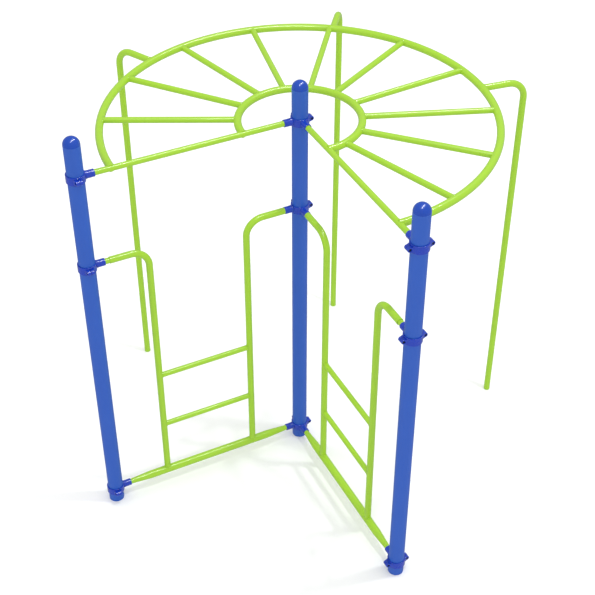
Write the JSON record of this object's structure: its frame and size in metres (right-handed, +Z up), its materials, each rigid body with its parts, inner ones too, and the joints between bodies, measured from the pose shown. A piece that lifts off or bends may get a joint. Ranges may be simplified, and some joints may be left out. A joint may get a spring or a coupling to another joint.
{
  "type": "overhead ring climber",
  "caption": "Playground climber: a three-quarter ring of radial overhead rungs on domed posts and bent legs, with two ladder walls at a right angle.",
  "frame": {"origin": "centre of the centre post's foot, at ground level", "axes": "+Z up; -Y towards the open quarter between the two ladder walls; +X to the right as seen from the open side"},
  "size_m": [2.3499, 2.2717, 2.5591],
  "materials": {
    "blue_powder_coat": "semi-gloss powder coat",
    "green_powder_coat": "semi-gloss powder coat",
    "zinc_fasteners": "zinc plated",
    "aluminium_rivets": "satin"
  },
  "bodies": {
    "root": {"bottom_rail_left": "green_powder_coat", "bottom_rail_right": "green_powder_coat", "cap_center": "blue_powder_coat", "cap_left": "blue_powder_coat", "cap_right": "blue_powder_coat", "cap_rivets": "aluminium_rivets", "clamp_bolts": "zinc_fasteners", "clamp_center_bottom_back": "blue_powder_coat", "clamp_center_bottom_socket": "blue_powder_coat", "clamp_center_mid_back": "blue_powder_coat", "clamp_center_mid_socket": "blue_powder_coat", "clamp_center_top_back": "blue_powder_coat", "clamp_center_top_socket": "blue_powder_coat", "clamp_left_bottom_back": "blue_powder_coat", "clamp_left_bottom_socket": "blue_powder_coat", "clamp_left_mid_back": "blue_powder_coat", "clamp_left_mid_socket": "blue_powder_coat", "clamp_left_top_back": "blue_powder_coat", "clamp_left_top_socket": "blue_powder_coat", "clamp_nuts": "zinc_fasteners", "clamp_right_bottom_back": "blue_powder_coat", "clamp_right_bottom_socket": "blue_powder_coat", "clamp_right_mid_back": "blue_powder_coat", "clamp_right_mid_socket": "blue_powder_coat", "clamp_right_top_back": "blue_powder_coat", "clamp_right_top_socket": "blue_powder_coat", "end_rung_left": "green_powder_coat", "end_rung_right": "green_powder_coat", "inner_ring": "green_powder_coat", "leg_back": "green_powder_coat", "leg_left": "green_powder_coat", "leg_right": "green_powder_coat", "outer_ring": "green_powder_coat", "overhead_rung_01": "green_powder_coat", "overhead_rung_02": "green_powder_coat", "overhead_rung_03": "green_powder_coat", "overhead_rung_04": "green_powder_coat", "overhead_rung_05": "green_powder_coat", "overhead_rung_06": "green_powder_coat", "overhead_rung_07": "green_powder_coat", "overhead_rung_08": "green_powder_coat", "overhead_rung_09": "green_powder_coat", "overhead_rung_10": "green_powder_coat", "post_center": "blue_powder_coat", "post_left": "blue_powder_coat", "post_right": "blue_powder_coat", "ring_end_plates": "green_powder_coat", "socket_set_screws": "zinc_fasteners", "upright_left_inner": "green_powder_coat", "upright_left_outer": "green_powder_coat", "upright_right_inner": "green_powder_coat", "upright_right_outer": "green_powder_coat", "upright_stubs_left": "green_powder_coat", "upright_stubs_right": "green_powder_coat", "wall_rung_left_lower": "green_powder_coat", "wall_rung_left_upper": "green_powder_coat", "wall_rung_right_lower": "green_powder_coat", "wall_rung_right_upper": "green_powder_coat"}
  },
  "joints": []
}
